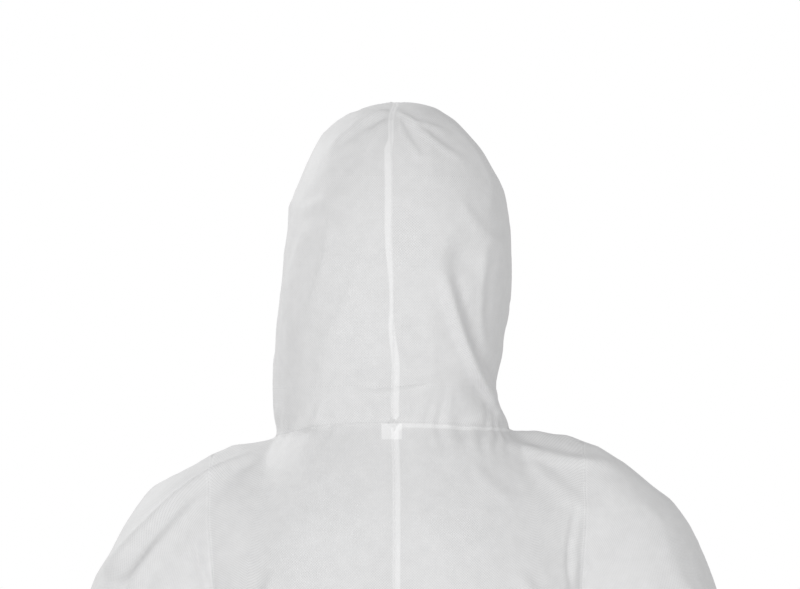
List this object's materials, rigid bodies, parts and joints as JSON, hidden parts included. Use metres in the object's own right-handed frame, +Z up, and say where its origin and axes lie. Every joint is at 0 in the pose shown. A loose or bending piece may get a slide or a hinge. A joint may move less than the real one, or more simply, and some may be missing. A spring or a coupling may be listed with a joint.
{
  "type": "chemical protective suit",
  "caption": "Hooded one-piece protective coverall in thin white nonwoven cloth, with a front zip and elastic at face, waist, cuffs and ankles.",
  "frame": {"origin": "centre of the neck seam, midway between the two shoulder seams, at the level of the seam's sides", "axes": "+Z up towards the hood's crown, -Y towards the zip and face opening, +X to the wearer's left"},
  "size_m": [1.0018, 0.274, 1.7431],
  "materials": {
    "cloth": "matte",
    "seam": "matte",
    "elastic": "matte",
    "label": "matte",
    "zip_tape": "matte",
    "zip_coil": "satin",
    "slider": "satin"
  },
  "bodies": {
    "torso": {"back_left_panel": "cloth", "back_right_panel": "cloth", "front_left_panel": "cloth", "front_right_panel": "cloth", "front_rise_seam": "seam", "crotch_gusset": "cloth", "waist_elastic": "elastic", "back_centre_seam": "seam", "neck_seam": "seam", "size_label": "label", "zip_tape_left": "zip_tape", "zip_tape_right": "zip_tape", "zip_coil_left": "zip_coil", "zip_coil_right": "zip_coil", "zip_top_stops": "zip_coil", "zip_bottom_stop": "zip_coil"},
    "hood": {"hood_left_panel": "cloth", "hood_right_panel": "cloth", "hood_centre_seam": "seam", "hood_face_elastic": "elastic"},
    "slider": {"zip_slider": "slider"},
    "tab": {"pull_tab": "slider"},
    "left_upper_arm": {"left_upper_sleeve": "cloth"},
    "left_forearm": {"left_lower_sleeve": "cloth", "left_cuff_elastic": "elastic"},
    "left_thigh": {"left_thigh_front": "cloth", "left_thigh_back": "cloth"},
    "left_shin": {"left_shin_front": "cloth", "left_shin_back": "cloth", "left_ankle_elastic": "elastic"},
    "right_upper_arm": {"right_upper_sleeve": "cloth"},
    "right_forearm": {"right_lower_sleeve": "cloth", "right_cuff_elastic": "elastic"},
    "right_thigh": {"right_thigh_front": "cloth", "right_thigh_back": "cloth"},
    "right_shin": {"right_shin_front": "cloth", "right_shin_back": "cloth", "right_ankle_elastic": "elastic"}
  },
  "joints": [
    {"name": "hood_fold", "type": "hinge", "parent": "torso", "child": "hood", "pos_m": [0, 0.0623, 0.0097], "axis": [-1, 0, 0], "range_deg": [0, 100]},
    {"name": "zip_slide", "type": "slide", "parent": "torso", "child": "slider", "axis": [0, -0.0496, -0.9988], "range_m": [0, 0.63]},
    {"name": "tab_flip", "type": "hinge", "parent": "slider", "child": "tab", "pos_m": [0, -0.11797, 0.01373], "axis": [-1, 0, 0], "range_deg": [0, 160]},
    {"name": "left_shoulder", "type": "hinge", "parent": "torso", "child": "left_upper_arm", "pos_m": [0.1753, 0, -0.0175], "axis": [0, -1, 0], "range_deg": [0, 60]},
    {"name": "left_elbow", "type": "hinge", "parent": "left_upper_arm", "child": "left_forearm", "pos_m": [0.34099, -0.0626, -0.35289], "axis": [-0.866, 0, -0.5], "range_deg": [0, 90]},
    {"name": "left_hip", "type": "hinge", "parent": "torso", "child": "left_thigh", "pos_m": [0.103, -0.1497, -0.7], "axis": [-1, 0, 0], "range_deg": [0, 60]},
    {"name": "left_knee", "type": "hinge", "parent": "left_thigh", "child": "left_shin", "pos_m": [0.116, 0.0846, -0.955], "axis": [1, 0, 0], "range_deg": [0, 70]},
    {"name": "right_shoulder", "type": "hinge", "parent": "torso", "child": "right_upper_arm", "pos_m": [-0.1753, 0, -0.0175], "axis": [0, 1, 0], "range_deg": [0, 60]},
    {"name": "right_elbow", "type": "hinge", "parent": "right_upper_arm", "child": "right_forearm", "pos_m": [-0.34099, -0.0626, -0.35289], "axis": [-0.866, 0, 0.5], "range_deg": [0, 90]},
    {"name": "right_hip", "type": "hinge", "parent": "torso", "child": "right_thigh", "pos_m": [-0.103, -0.1497, -0.7], "axis": [-1, 0, 0], "range_deg": [0, 60]},
    {"name": "right_knee", "type": "hinge", "parent": "right_thigh", "child": "right_shin", "pos_m": [-0.116, 0.0846, -0.955], "axis": [1, 0, 0], "range_deg": [0, 70]}
  ]
}
